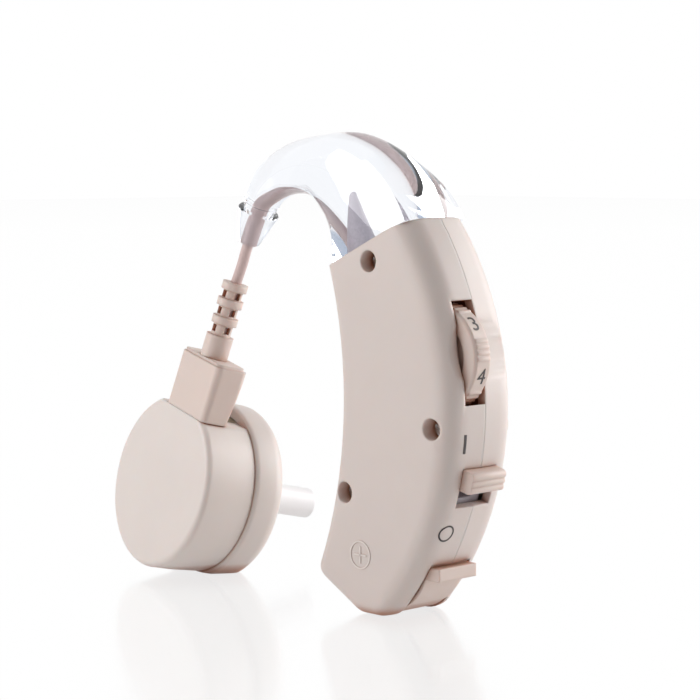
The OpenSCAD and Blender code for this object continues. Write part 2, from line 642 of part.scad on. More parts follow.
collar_rise = 0.35;
base_rise = 0.1;
window_shares = [0.16, 0.38, 0.615];
window_w = 0.7;
window_h = 0.8;
relief_neck_r = relief_d / 2 - collar_rise;
collar_t = 0.9;
collar_shares = [0, 0.215, 0.45];
base_share = 0.7;
module relief_profile() {
    square([relief_neck_r, relief_len]);
    for (s = collar_shares) translate([0, relief_len * (1 - s) - collar_t]) square([relief_d / 2, collar_t]);
    square([relief_d / 2 + base_rise, relief_len * (1 - base_share)]);
}
module strain_relief() color(colour_mould) on_relief() translate([0, 0, -relief_len]) difference() {
    rotate_extrude($fn = 48) relief_profile();
    translate([0, 0, -overrun]) cylinder(r = lead_d / 2 + seat_gap, h = relief_len + 2 * overrun, $fn = 32);
    for (s = window_shares) for (a = [0, 90]) rotate([0, 0, a])
        translate([-window_w / 2, -relief_d, relief_len * (1 - s) - window_h / 2]) cube([window_w, 2 * relief_d, window_h]);
}
module lead_in_relief() color(colour_lead) on_relief() translate([0, 0, -relief_len + seat_gap])
    cylinder(r = lead_d / 2, h = relief_len - seat_gap - joint_gap, $fn = 32);
plug_edge_r = 0.8;
plug_bevel = 0.35;
plug_slant = (plug_t - plug_bottom_t) / plug_h;
module round_corners(w, y0, y1, r) {
    translate([-w / 2 + r, y0]) square([w - 2 * r, y1 - y0]);
    translate([-w / 2, y0 + r]) square([w, y1 - y0 - 2 * r]);
    for (x = [r - w / 2, w / 2 - r]) for (y = [y0 + r, y1 - r]) translate([x, y]) circle(r = r);
}
module plug_body() color(colour_mould) on_relief() translate([0, 0, -relief_len - plug_h]) difference() {
    union() {
        linear_extrude(height = plug_h - plug_bevel)
            round_corners(plug_w, face_y, plug_t + face_y, plug_edge_r);
        translate([0, 0, plug_h - plug_bevel]) linear_extrude(height = plug_bevel)
            round_corners(plug_w - plug_bevel, plug_bevel / 2 + face_y,
                plug_t + face_y - plug_bevel, plug_edge_r);
    }
    translate([-plug_w, 0, 0]) rotate([90, 0, 90]) linear_extrude(height = 2 * plug_w) polygon([
        [plug_bottom_t + face_y - plug_slant * overrun, -overrun],
        [plug_t + face_y + plug_slant * overrun, plug_h + overrun],
        [2 * plug_t, plug_h + overrun], [2 * plug_t, -overrun]]);
    for (x = [-1, 1]) translate([x * pin_pitch / 2, 0, -overrun]) cylinder(r = pin_d / 2, h = pin_root + overrun);
}
module plug_pins() color("#D8C37A") on_relief() translate([0, 0, -relief_len - plug_h])
    for (x = [-1, 1]) translate([x * pin_pitch / 2, 0, -pin_len])
        cylinder(r = pin_d / 2 - seat_gap, h = pin_len + pin_root - seat_gap);

cover_wall = 0.9;
module revolve_y() { along_y() rotate_extrude($fn = 96) children(); }
front_edge_r = 0.7;
front_swell = 0.2;
front_mid_share = 0.45;
module front_profile(less) polygon(concat([[0, face_y + less]],
    [for (a = [0:15:90]) [face_d / 2 - less + front_edge_r * sin(a), face_y + less + front_edge_r * (1 - cos(a))]],
    [[front_d / 2 + front_swell - less, mix(face_y, seam_y, front_mid_share)],
    [front_d / 2 - less, seam_y + less], [0, seam_y + less]]));
block_h = 2.7;
block_w = 6.4;
block_t = 3.6;
block_lap = 0.2;
socket_wall = 0.3;
socket_floor = 0.2;
module receiver_front() color(colour_case) on_receiver() difference() {
    union() {
        difference() {
            revolve_y() front_profile(0);
            revolve_y() front_profile(cover_wall);
        }
        intersection() {
            translate([-block_w - receiver_aside, face_y + block_lap, seat_h - block_h])
                cube([2 * block_w, block_t, block_h]);
            revolve_y() front_profile(block_lap / 2);
        }
    }
    translate([-receiver_d, face_y - overrun, seat_h]) cube([2 * receiver_d, front_t + 2 * overrun, receiver_d]);
    for (x = [-1, 1]) translate([x * pin_pitch / 2 - receiver_aside, 0, seat_h - pin_len - socket_floor])
        cylinder(r = pin_d / 2 + socket_wall, h = pin_len + overrun);
}
module socket_contacts() color("#D8C37A") on_receiver() for (x = [-1, 1])
    translate([x * pin_pitch / 2 - receiver_aside, 0, seat_h - pin_len - socket_floor]) difference() {
        cylinder(r = pin_d / 2 + socket_wall - seat_gap, h = pin_len);
        translate([0, 0, socket_floor / 2]) cylinder(r = pin_d / 2 + pin_gap, h = pin_len + overrun);
    }
rear_edge_r = 1.8;
rear_wall = 1.3;
seam_step = 0.2;
seam_bevel = 0.4;
module rear_profile() polygon(concat([[0, seam_y], [front_d / 2 + seam_step, seam_y],
    [receiver_d / 2, seam_y + seam_bevel]],
    [for (a = [0:15:90]) [receiver_d / 2 - rear_edge_r * (1 - cos(a)), back_y - rear_edge_r * (1 - sin(a))]],
    [[0, back_y]]));
nozzle_base_r = 2.4;
nozzle_base_len = 1;
nozzle_bore_r = 1;
nozzle_step = 3.5;
nozzle_edge = 0.3;
nozzle_flange_w = 1;
nozzle_flange_t = 0.4;
module receiver_rear() color(colour_case) on_receiver() difference() {
    revolve_y() rear_profile();
    rod_y(front_d / 2 - cover_wall, seam_y - overrun, back_y - rear_wall);
    rod_y(nozzle_base_r + seat_gap, seam_y, back_y + overrun);
}
module sound_nozzle() color("white") on_receiver() difference() {
    revolve_y() polygon([[0, back_y - rear_wall - nozzle_flange_t],
        [nozzle_base_r + nozzle_flange_w, back_y - rear_wall - nozzle_flange_t],
        [nozzle_base_r + nozzle_flange_w, back_y - rear_wall - seat_gap],
        [nozzle_base_r, back_y - rear_wall - seat_gap], [nozzle_base_r, back_y + nozzle_base_len],
        [nozzle_d / 2, back_y + nozzle_step], [nozzle_d / 2, back_y + nozzle_len - nozzle_edge],
        [nozzle_d / 2 - nozzle_edge, back_y + nozzle_len], [0, back_y + nozzle_len]]);
    rod_y(nozzle_bore_r, seam_y, back_y + 2 * nozzle_len);
}
screen_in = 0.5;
screen_t = 0.3;
module nozzle_screen() color("silver") on_receiver()
    rod_y(nozzle_bore_r - seat_gap, back_y + nozzle_len - screen_in - screen_t, back_y + nozzle_len - screen_in);
yoke_r = 4.8;
yoke_gap = 0.3;
yoke_wall = 0.7;
yoke_floor = 0.8;
yoke_short = 0.6;
yoke_y = face_y + cover_wall + yoke_gap;
module yoke_cup() color("#8F9296") on_receiver() difference() {
    rod_y(yoke_r, yoke_y, seam_y - yoke_short);
    rod_y(yoke_r - yoke_wall, yoke_y + yoke_floor, seam_y);
}
magnet_r = 2.7;
magnet_short = 0.9;
module magnet() color("#6E7073") on_receiver() rod_y(magnet_r, yoke_y + yoke_floor + seat_gap, seam_y - magnet_short);
coil_gap = 0.3;
coil_t = 0.6;
coil_depth = 2.2;
coil_rise = 0.25;
module voice_coil() color("#B8692F") on_receiver() difference() {
    rod_y(magnet_r + coil_gap + coil_t, seam_y - coil_depth, seam_y + coil_rise);
    rod_y(magnet_r + coil_gap, seam_y - far_away, seam_y + far_away);
}
diaphragm_t = 0.18;
diaphragm_gap = 0.1;
module diaphragm() color("#D9D2B8") on_receiver() rod_y(front_d / 2 - cover_wall - diaphragm_gap,
    seam_y + coil_rise + seat_gap, seam_y + coil_rise + seat_gap + diaphragm_t);

near_shell();
far_shell();
ear_hook();
case_screws();
hinge_pin();
circuit_board();
amplifier_chip();
board_capacitors();
microphone();
microphone_gasket();
volume_track();
switch_housing();
switch_terminals();
contact_plus();
contact_minus();
lead_in_hook();
volume_wheel();
wheel_spindle();
switch_knob();
battery_door();
battery_can();
battery_gasket();
battery_cap();
lead_free();
lead_in_relief();
strain_relief();
plug_body();
plug_pins();
receiver_front();
receiver_rear();
sound_nozzle();
nozzle_screen();
socket_contacts();
yoke_cup();
magnet();
voice_coil();
diaphragm();
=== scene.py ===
# %% [markdown]
# # A behind-the-ear hearing aid
# The aid is a case that sits behind the ear, a clear hook that goes over the ear, and a short lead with
# a plug-in button receiver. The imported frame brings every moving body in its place, so this script only
# gives each piece its finish: soft moulded edges, printed signs, the clear hook and the lead inside it.

import json
import math

import bpy
from mathutils import Matrix, Vector


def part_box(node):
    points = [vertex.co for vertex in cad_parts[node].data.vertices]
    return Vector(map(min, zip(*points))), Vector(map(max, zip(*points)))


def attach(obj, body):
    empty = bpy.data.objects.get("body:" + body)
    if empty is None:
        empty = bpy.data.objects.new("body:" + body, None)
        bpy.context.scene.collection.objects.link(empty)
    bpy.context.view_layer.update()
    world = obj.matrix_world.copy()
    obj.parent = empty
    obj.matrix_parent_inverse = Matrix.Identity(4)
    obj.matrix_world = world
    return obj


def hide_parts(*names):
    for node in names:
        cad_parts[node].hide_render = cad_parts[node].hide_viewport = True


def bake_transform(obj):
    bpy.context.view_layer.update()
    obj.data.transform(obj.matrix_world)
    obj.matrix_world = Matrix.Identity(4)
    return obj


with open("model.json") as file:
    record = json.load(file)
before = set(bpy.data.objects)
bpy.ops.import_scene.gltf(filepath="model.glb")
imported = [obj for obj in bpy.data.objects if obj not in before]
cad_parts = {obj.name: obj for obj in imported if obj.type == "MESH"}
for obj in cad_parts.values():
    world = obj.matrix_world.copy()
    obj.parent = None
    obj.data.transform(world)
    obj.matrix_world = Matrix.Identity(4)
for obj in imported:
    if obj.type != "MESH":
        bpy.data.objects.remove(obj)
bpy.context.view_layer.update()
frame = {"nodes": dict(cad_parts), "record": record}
mm = 0.001
nodes = frame["nodes"]
body_of = {node: body for body, held in frame["record"]["behaviour"]["bodies"].items() for node in held}

# %% [markdown]
# ## Camera
# A close-up of a 5 cm object is taken with a long lens from about 20 cm. The view looks at the spine and
# the broad face at once, 46 degrees round from the broad face, and a little down.

# %% Camera
camera_turn = math.radians(46)
camera_dip = math.radians(5.05)
camera_right = Vector((math.cos(camera_turn), math.sin(camera_turn), 0))
camera_forward = Vector((-math.sin(camera_turn) * math.cos(camera_dip),
                         math.cos(camera_turn) * math.cos(camera_dip), -math.sin(camera_dip)))
camera_up = camera_right.cross(camera_forward)
photo_px = 700
lens_px = 2150
sensor = 36
distance = 220 * mm
look_point = Vector((26.5, 0, -15)) * mm
look_px = (480, 352)
aside = (look_px[0] - photo_px / 2) / lens_px * distance
below = (look_px[1] - photo_px / 2) / lens_px * distance
camera_place = look_point - camera_forward * distance - camera_right * aside + camera_up * below
bpy.ops.object.camera_add()
camera = bpy.context.object
camera.name = "photo_camera"
camera.data.sensor_width = sensor
camera.data.lens = lens_px / photo_px * sensor
camera.data.clip_start = 10 * mm
camera_axes = Matrix((camera_right, camera_up, -camera_forward)).transposed()
camera.matrix_world = Matrix.Translation(camera_place) @ camera_axes.to_4x4()
bpy.context.scene.camera = camera
print("camera at", [round(v / mm, 1) for v in camera_place], "mm, lens", round(camera.data.lens, 1), "mm")


# %% [markdown]
# ## Colour and shader helpers
# Colours are given as the hex values a painter would pick. Blender works in linear light, so one
# function turns them. Another adds a shader node, sets it and joins it up.

# %% Colour and shader helpers
def colour(hex_text):
    parts = [int(hex_text[i:i + 2], 16) / 255 for i in (1, 3, 5)]
    linear = [p / 12.92 if p <= 0.04045 else ((p + 0.055) / 1.055) ** 2.4 for p in parts]
    return (*linear, 1)


def add(tree, kind, values=None, **settings):
    node = tree.nodes.new("ShaderNode" + kind)
    for key, value in settings.items():
        setattr(node, key, value)
    for key, value in (values or {}).items():
        if isinstance(value, bpy.types.NodeSocket):
            tree.links.new(value, node.inputs[key])
        else:
            node.inputs[key].default_value = value
    return node


def start_material(name, **fixed):
    material = bpy.data.materials.new(name)
    material.use_nodes = True
    shader = material.node_tree.nodes["Principled BSDF"]
    for key, value in fixed.items():
        shader.inputs[key.replace("_", " ")].default_value = value
    return material, material.node_tree, shader


print("linear value of a mid grey:", round(colour("#808080")[0], 3))


# %% [markdown]
# ## Moulded plastic
# The case, the receiver and the plug are injection moulded ABS. Its surface is satin: a very fine spark
# texture of about a tenth of a millimetre breaks up the highlight, the colour drifts a little over
# several millimetres, and edges that fingers rub are slightly lighter and smoother. The texture would be
# too fine to see, so it is drawn about twice its real size. Thin plastic lets some light through, so holes
# and slots glow warm. Part of that glow, and the shade in holes and slots, is painted: the colour is painted
# warm brown where a surface is closed in.

# %% Moulded plastic
spark_mm = 0.22
spark_low = 0.3
spark_high = 0.7
spark_depth_mm = 0.03
drift_mm = 7
rub_mm = 0.35
rub_gain = 1.25
flat_dot = 0.995
edge_dot = 0.9
painted_glow_reach_mm = 1.6
painted_glow_share = 0.95
shut_in = 0.15
wide_open = 0.85
polish_spread = 0.05


def moulded(name, hex_text, roughness, spark=0.12, drift=0.035, rub=0.06, hollow_hex=None, **fixed):
    material, tree, shader = start_material(name, **fixed)
    place = add(tree, "TexCoord").outputs["Object"]
    fine = add(tree, "TexNoise", {"Vector": place, "Scale": 1 / (spark_mm * mm), "Detail": 2.0})
    broad = add(tree, "TexNoise", {"Vector": place, "Scale": 1 / (drift_mm * mm), "Detail": 3.0})
    base = colour(hex_text)
    dark = (*[c * (1 - drift) for c in base[:3]], 1)
    light = (*[min(1, c * (1 + drift)) for c in base[:3]], 1)
    tint = add(tree, "Mix", {0: broad.outputs[0], 6: dark, 7: light}, data_type="RGBA")
    rounded = add(tree, "Bevel", {"Radius": rub_mm * mm}, samples=4)
    flat = add(tree, "NewGeometry")
    turned = add(tree, "VectorMath", {0: rounded.outputs[0], 1: flat.outputs["Normal"]},
                 operation="DOT_PRODUCT")
    edge = add(tree, "MapRange", {"Value": turned.outputs["Value"], "From Min": flat_dot,
                                  "From Max": edge_dot, "To Min": 0.0, "To Max": rub})
    pale = (*[min(1, c * rub_gain) for c in base[:3]], 1)
    rubbed = add(tree, "Mix", {0: edge.outputs[0], 6: tint.outputs[2], 7: pale}, data_type="RGBA")
    painted = rubbed
    # Painted glow and shade: where ambient occlusion finds a surface closed in, its colour is painted warm
    # brown.
    if hollow_hex:
        open_share = add(tree, "AmbientOcclusion", {"Distance": painted_glow_reach_mm * mm}, samples=6)
        painted_glow_mask = add(tree, "MapRange", {"Value": open_share.outputs["AO"], "From Min": shut_in,
                                           "From Max": wide_open, "To Min": painted_glow_share, "To Max": 0.0})
        painted = add(tree, "Mix", {0: painted_glow_mask.outputs[0], 6: rubbed.outputs[2], 7: colour(hollow_hex)},
                      data_type="RGBA")
    tree.links.new(painted.outputs[2], shader.inputs["Base Color"])
    polish = add(tree, "MapRange", {"Value": fine.outputs[0], "From Min": spark_low, "From Max": spark_high,
                                    "To Min": roughness - polish_spread, "To Max": roughness + polish_spread})
    tree.links.new(polish.outputs[0], shader.inputs["Roughness"])
    bump = add(tree, "Bump", {"Height": fine.outputs[0], "Strength": spark, "Distance": spark_depth_mm * mm,
                              "Normal": rounded.outputs[0]})
    tree.links.new(bump.outputs[0], shader.inputs["Normal"])
    return material


# Subsurface is real light through the plastic; the warm brown in holes and slots is painted glow and shade.
subsurface_and_painted_glow = {"Subsurface_Weight": 0.25, "Subsurface_Radius": (1.0, 0.4, 0.25),
                "Subsurface_Scale": 0.9 * mm, "hollow_hex": "#A9673F"}
case_abs = moulded("satin_abs_case", "#CFC2BC", 0.42, **subsurface_and_painted_glow)
trim_abs = moulded("satin_abs_trim", "#D0BEB5", 0.45, **subsurface_and_painted_glow)
receiver_abs = moulded("satin_abs_receiver", "#D5CAC4", 0.4, **subsurface_and_painted_glow)
switch_abs = moulded("moulded_nylon_switch", "#B7B1B8", 0.5)
nozzle_plastic = moulded("white_nylon_nozzle", "#F1EFF0", 0.38, rub=0.0)
print("moulded finishes:", [m.name for m in (case_abs, trim_abs, receiver_abs, switch_abs, nozzle_plastic)])


# %% [markdown]
# ## Metal and the inner materials
# Screws and the hinge pin are nickel plated steel, turned on a lathe, which leaves fine rings. Contacts
# and pins are gold flashed brass. The circuit board is brown laminate with a weave of about 0.4 mm under
# its lacquer. These pieces are small or inside, but each one still has the grain of its real surface.

# %% Metal and the inner materials
grain_depth_mm = 0.02
polish_low = 0.8
polish_high = 1.2


def grained(name, hex_text, roughness, grain_mm, depth, contrast=0.08, stretch=(1, 1, 1), kind="TexNoise",
            **fixed):
    material, tree, shader = start_material(name, **fixed)
    place = add(tree, "TexCoord").outputs["Object"]
    scaled = add(tree, "Mapping", {"Vector": place, "Scale": stretch})
    grain = add(tree, kind, {"Vector": scaled.outputs[0], "Scale": 1 / (grain_mm * mm)})
    base = colour(hex_text)
    dark = (*[c * (1 - contrast) for c in base[:3]], 1)
    tint = add(tree, "Mix", {0: grain.outputs[0], 6: dark, 7: base}, data_type="RGBA")
    tree.links.new(tint.outputs[2], shader.inputs["Base Color"])
    polish = add(tree, "MapRange", {"Value": grain.outputs[0], "To Min": roughness * polish_low,
                                    "To Max": roughness * polish_high})
    tree.links.new(polish.outputs[0], shader.inputs["Roughness"])
    bump = add(tree, "Bump", {"Height": grain.outputs[0], "Strength": depth, "Distance": grain_depth_mm * mm})
    tree.links.new(bump.outputs[0], shader.inputs["Normal"])
    return material


nickel = grained("nickel_plated_steel", "#CFCDCB", 0.25, 0.15, 0.2, Metallic=1.0)
brass = grained("gold_flashed_brass", "#D8BC72", 0.28, 0.2, 0.15, Metallic=1.0)
laminate = grained("brown_board_laminate", "#7E4528", 0.35, 0.4, 0.2, 0.2, kind="TexChecker")
resin = grained("black_moulded_resin", "#232327", 0.5, 0.1, 0.3, 0.3)
ceramic = grained("fired_ceramic", "#B99A6B", 0.55, 0.15, 0.2, 0.15)
carbon = grained("printed_carbon_track", "#6E5038", 0.6, 0.12, 0.2, 0.25)
rubber = grained("black_silicone_rubber", "#2B2927", 0.65, 0.2, 0.2, 0.15)
cell_steel = grained("nickel_cell_can", "#D4D3D2", 0.22, 0.3, 0.1, 0.06, (1, 0.1, 1), Metallic=1.0)
seal = grained("green_cell_seal", "#3F6D5B", 0.5, 0.2, 0.1)
ferrite = grained("sintered_magnet", "#7B7C80", 0.4, 0.12, 0.3, 0.15, Metallic=1.0)
copper = grained("enamelled_copper_wire", "#B9693A", 0.3, 0.12, 0.6, 0.3, (0.05, 1, 0.05), Metallic=1.0)
film = grained("clear_diaphragm_film", "#DCD3BC", 0.25, 0.5, 0.1, Alpha=0.8)
print("inner finishes ready:", copper.name, film.name)


# %% [markdown]
# ## Small tools for meshes
# The second runs an edit-mode operator on a whole mesh, and the third applies a modifier, so that no
# modifier stays live on a piece.

# %% Small tools for meshes
def pick(piece):
    if bpy.context.object and bpy.context.object.mode != "OBJECT":
        bpy.ops.object.mode_set(mode="OBJECT")
    bpy.ops.object.select_all(action="DESELECT")
    piece.select_set(True)
    bpy.context.view_layer.objects.active = piece


def edit_all(piece, *steps):
    pick(piece)
    bpy.ops.object.mode_set(mode="EDIT")
    bpy.ops.mesh.select_all(action="SELECT")
    for step in steps:
        step()
    bpy.ops.object.mode_set(mode="OBJECT")


def apply_modifier(piece, name, kind, **settings):
    pick(piece)
    modifier = piece.modifiers.new(name, kind)
    for key, value in settings.items():
        setattr(modifier, key, value)
    bpy.ops.object.modifier_apply(modifier=name)


def settle(piece):
    pick(piece)
    bpy.ops.object.transform_apply(location=True, rotation=True, scale=True)


def coat(piece, *materials):
    piece.data.materials.clear()
    for material in materials:
        piece.data.materials.append(material)


def new_mesh(name, points, faces):
    mesh = bpy.data.meshes.new(name)
    mesh.from_pydata([Vector(p) for p in points], [], faces)
    piece = bpy.data.objects.new(name, mesh)
    bpy.context.collection.objects.link(piece)
    return piece


# %% [markdown]
# ## Soft moulded edges
# No moulded edge is sharp: the tool leaves a radius of one or two tenths of a millimetre, which catches
# a thin line of light. A CAD node comes as loose triangles, so a copy is merged, its flat areas are
# joined into whole faces, and a Bevel modifier rounds the edges. The copy then stands for the node.

# %% Soft moulded edges
crease_angle = math.radians(38)
flat_angle = math.radians(0.6)
merge_mm = 0.002
edge_segments = 2
flat_face_weight = 60


def soften(node, material, edge):
    piece = bpy.data.objects.new(node + "_skin", nodes[node].data.copy())
    bpy.context.collection.objects.link(piece)
    coat(piece, material)
    pick(piece)
    if piece.data.has_custom_normals:
        bpy.ops.mesh.customdata_custom_splitnormals_clear()
    edit_all(piece, lambda: bpy.ops.mesh.remove_doubles(threshold=merge_mm * mm),
             lambda: bpy.ops.mesh.dissolve_limited(angle_limit=flat_angle))
    apply_modifier(piece, "edge", "BEVEL", width=edge * mm, segments=edge_segments, limit_method="ANGLE",
                   angle_limit=crease_angle, use_clamp_overlap=True, miter_outer="MITER_ARC")
    pick(piece)
    bpy.ops.object.shade_smooth_by_angle(angle=crease_angle)
    apply_modifier(piece, "even shading", "WEIGHTED_NORMAL", keep_sharp=True, weight=flat_face_weight)
    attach(piece, body_of[node])
    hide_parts(node)
    return piece


moulded_edges = {
    "near_shell": (case_abs, 0.1), "far_shell": (case_abs, 0.1), "battery_door": (trim_abs, 0.2),
    "switch_knob": (trim_abs, 0.14), "volume_wheel": (trim_abs, 0.05), "strain_relief": (trim_abs, 0.12),
    "plug_body": (trim_abs, 0.25), "receiver_front": (receiver_abs, 0.12),
    "receiver_rear": (receiver_abs, 0.1), "sound_nozzle": (nozzle_plastic, 0.08),
    "case_screws": (nickel, 0.04)}
skins = {node: soften(node, material, edge) for node, (material, edge) in moulded_edges.items()}
print("softened:", {node: len(skin.data.polygons) for node, skin in skins.items()})

# %% [markdown]
# ## The pieces inside
# The board, the cell and the receiver's motor keep their CAD shapes, because only a glimpse of them is
# ever seen, and each takes the material of the real piece.

# %% The pieces inside
inside = {
    "hinge_pin": nickel, "circuit_board": laminate, "amplifier_chip": resin, "board_capacitors": ceramic,
    "microphone": cell_steel, "microphone_gasket": rubber, "volume_track": carbon,
    "switch_housing": switch_abs, "switch_terminals": brass, "contact_plus": brass, "contact_minus": brass,
    "wheel_spindle": brass, "battery_can": cell_steel, "battery_gasket": seal, "battery_cap": cell_steel,
    "plug_pins": brass, "nozzle_screen": nickel, "socket_contacts": brass, "yoke_cup": ferrite,
    "magnet": ferrite, "voice_coil": copper, "diaphragm": film}
for node, material in inside.items():
    coat(nodes[node], material)
print("pieces inside:", len(inside))

# %% [markdown]
# The screws' heads are domed and have a cross for the driver, and a glint of them shows in the holes. To
# find where they stand, a copy of the three screws is taken apart and the middle of each one is noted.

# %% Places of the screws
pick(skins["case_screws"])
bpy.ops.object.duplicate()
bpy.ops.mesh.separate(type="LOOSE")
loose_screws = list(bpy.context.selected_objects)
screw_places = []
for screw in loose_screws:
    corners = [Vector(c) for c in screw.bound_box]
    screw_places.append((corners[0] + corners[6]) / 2)
    bpy.data.objects.remove(screw)
print("screws at", [(round(place.x / mm, 1), round(place.z / mm, 1)) for place in screw_places])

# %% [markdown]
# Each dome is a flattened ball cut by two thin bars. Its middle lies a little in front of the flat head of
# its CAD screw, and its back is sunk in that head.

# %% Domed screw heads
flat_head_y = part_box("case_screws")[0][1]
dome_r = 1.05 * mm
dome_h = 0.55 * mm
dome_ahead = 0.4 * mm
dome_y = flat_head_y - dome_ahead
cross_l = dome_r * 1.3
cross_w = dome_r * 0.26
cross_depth = dome_h * 0.9
cross_turn = math.radians(25)
for number, place in enumerate(screw_places):
    bpy.ops.object.select_all(action="DESELECT")
    bpy.ops.mesh.primitive_uv_sphere_add(segments=40, ring_count=24, radius=1)
    dome = bpy.context.object
    dome.name = "screw_dome_%d" % (number + 1)
    dome.scale = (dome_r, dome_h, dome_r)
    dome.location = (place.x, dome_y, place.z)
    settle(dome)
    for turn in (cross_turn, cross_turn + math.pi / 2):
        bpy.ops.object.select_all(action="DESELECT")
        bpy.ops.mesh.primitive_cube_add(size=1)
        bar = bpy.context.object
        bar.scale = (cross_l, cross_depth, cross_w)
        bar.rotation_euler = (0, turn, 0)
        bar.location = (place.x, dome_y - dome_h, place.z)
        settle(bar)
        apply_modifier(dome, "cross", "BOOLEAN", object=bar, operation="DIFFERENCE", solver="EXACT")
        bpy.data.objects.remove(bar)
    pick(dome)
    bpy.ops.object.shade_smooth_by_angle(angle=crease_angle)
    coat(dome, nickel)
    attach(dome, "case")
print("screw heads:", len(screw_places))

# %% [markdown]
# ## The lead
# The lead is a thin soft cord in a mauve brown PVC sleeve. It leaves the board, goes through the clear
# hook and hangs 5 mm free before the strain relief takes it. It is one tube, so it bends smoothly where
# the hook ends: it follows the case before that point and the plug after it. Its points are those that
# were chosen for the CAD model, where the hook's bore follows them too. A smooth curve joins them.

# %% The route of the lead
held_route = [
    (12.5, -0.33, -12.2), (12.4, -0.33, -10.9), (12.2, -0.33, -9.6), (12, -0.25, -8.4), (11.6, -0.1, -7.2),
    (11.1, 0, -6), (10.4, 0, -4.9), (9.6, 0, -3.8), (8.6, 0, -2.7), (7.5, 0, -1.6), (6.3, 0, -0.6),
    (4.9, 0, 0.3), (3.4, 0, 1), (1.8, 0, 1.5), (0.1, 0, 1.8), (-1.6, 0, 1.8), (-3.2, 0, 1.6), (-4.6, 0, 1.1),
    (-5.9, 0, 0.5), (-6.9, 0, -0.3), (-7.7, 0, -1.7), (-8.4, 0, -3.05), (-9.3, 0, -4.9)]
free_route = [(-9.85, 0.03, -6), (-10.45, 0.12, -7.2), (-11.05, 0.12, -8.4), (-11.5, 0, -9.5)]


def rounded_route(points, steps):
    ends = [2 * points[0] - points[1], *points, 2 * points[-1] - points[-2]]
    line = []
    for a, b, c, d in zip(ends, ends[1:], ends[2:], ends[3:]):
        for i in range(steps):
            s = i / steps
            line.append(0.5 * (2 * b + (c - a) * s + (2 * a - 5 * b + 4 * c - d) * s ** 2
                               + (3 * b - a - 3 * c + d) * s ** 3))
    return line + [points[-1]]


steps_between = 4
route = rounded_route([Vector(p) * mm for p in held_route + free_route], steps_between)


# %% The lead as a mesh tube
sideways = Vector((0, 1, 0))


def rings_along(line, radius, sides):
    points = []
    for i, place in enumerate(line):
        ahead = (line[min(i + 1, len(line) - 1)] - line[max(i - 1, 0)]).normalized()
        up = ahead.cross(sideways).normalized()
        across = up.cross(ahead)
        for k in range(sides):
            turn = 2 * math.pi * k / sides
            points.append(place + radius * (math.cos(turn) * up + math.sin(turn) * across))
    return points


def ring_faces(rings, sides):
    faces = []
    for near in range(0, (rings - 1) * sides, sides):
        far = near + sides
        faces += [(near + k, near + (k + 1) % sides, far + (k + 1) % sides, far + k) for k in range(sides)]
    return faces


lead_d = 1.24 * mm
lead_sides = 20
lead_faces = ring_faces(len(route), lead_sides)
last = (len(route) - 1) * lead_sides
caps = [tuple(reversed(range(lead_sides))), tuple(range(last, last + lead_sides))]
lead = new_mesh("lead", rings_along(route, lead_d / 2, lead_sides), lead_faces + caps)
edit_all(lead, lambda: bpy.ops.mesh.normals_make_consistent(inside=False))
pick(lead)
bpy.ops.object.shade_smooth_by_angle(angle=crease_angle)
lead_sleeve = moulded("mauve_pvc_sleeve", "#CAB2AE", 0.5, spark=0.15, rub=0.0)
coat(lead, lead_sleeve)
coat(nodes["lead_in_relief"], lead_sleeve)
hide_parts("lead_in_hook", "lead_free")
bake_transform(lead)
print("lead diameter", round(lead_d / mm, 2), "mm")

# %% [markdown]
# ## The clear hook
# The hook is moulded in clear acrylic with a polished skin. What makes it look like glass is that light
# bends on the way in and on the way out, so the mesh needs both skins: the outside, and the bore that the
# lead lies in. The outside is lofted along one smooth curve, square where it meets the case and round at
# the end, then it steps into the groove and the barb. A primitive has no such taper, so its rings are
# worked out here.

# %% Centre line and section of the hook
top_tilt = math.radians(24.5)
top_normal = Vector((-math.sin(top_tilt), 0, math.cos(top_tilt)))
hook_start = Vector((14.735, 0, -4.072))
hook_pull_up = Vector((10.372, 0, 5.501))
hook_pull_down = Vector((-3.944, 0, 6.121))
hook_end = Vector((-7.1, 0, -0.35))
base_half_length = 6.408
base_half_width = 4.9
length_shares = [1, 0.985, 0.955, 0.91, 0.85, 0.775, 0.665, 0.56, 0.5, 0.46, 0.425, 0.395, 0.37, 0.345,
                 0.331]
width_shares = [1, 0.985, 0.965, 0.93, 0.88, 0.82, 0.755, 0.69, 0.63, 0.58, 0.535, 0.5, 0.47, 0.44, 0.416]
square_shares = [0.72, 0.61, 0.43, 0.29, 0.18, 0.11, 0.06, 0, 0, 0, 0, 0, 0, 0, 0]
hook_rings = 71
hook_sides = 72


def share_at(shares, s):
    place = s * (len(shares) - 1)
    i = min(int(place), len(shares) - 2)
    a, b, c, d = (shares[max(0, min(len(shares) - 1, i + k))] for k in (-1, 0, 1, 2))
    t = place - i
    return 0.5 * (2 * b + (c - a) * t + (2 * a - 5 * b + 4 * c - d) * t ** 2
                  + (3 * b - a - 3 * c + d) * t ** 3)


def hook_line(s):
    a, b, c, d = hook_start, hook_pull_up, hook_pull_down, hook_end
    place = (1 - s) ** 3 * a + 3 * (1 - s) ** 2 * s * b + 3 * (1 - s) * s * s * c + s ** 3 * d
    ahead = (1 - s) ** 2 * (b - a) + 2 * (1 - s) * s * (c - b) + s * s * (d - c)
    return place, ahead.normalized()


def hook_ring(s):
    place, ahead = hook_line(s)
    across = Vector((ahead.z, 0, -ahead.x))
    ring = []
    for k in range(hook_sides):
        turn = 2 * math.pi * k / hook_sides
        c, q = math.cos(turn), math.sin(turn)
        square = 1 + (1 / max(abs(c), abs(q)) - 1) * share_at(square_shares, s)
        ring.append((place + across * (c * square * share_at(length_shares, s) * base_half_length)
                     + Vector((0, -q * square * share_at(width_shares, s) * base_half_width, 0))) * mm)
    return ring


print("hook end:", [round(v, 2) for v in hook_line(1)[0]])

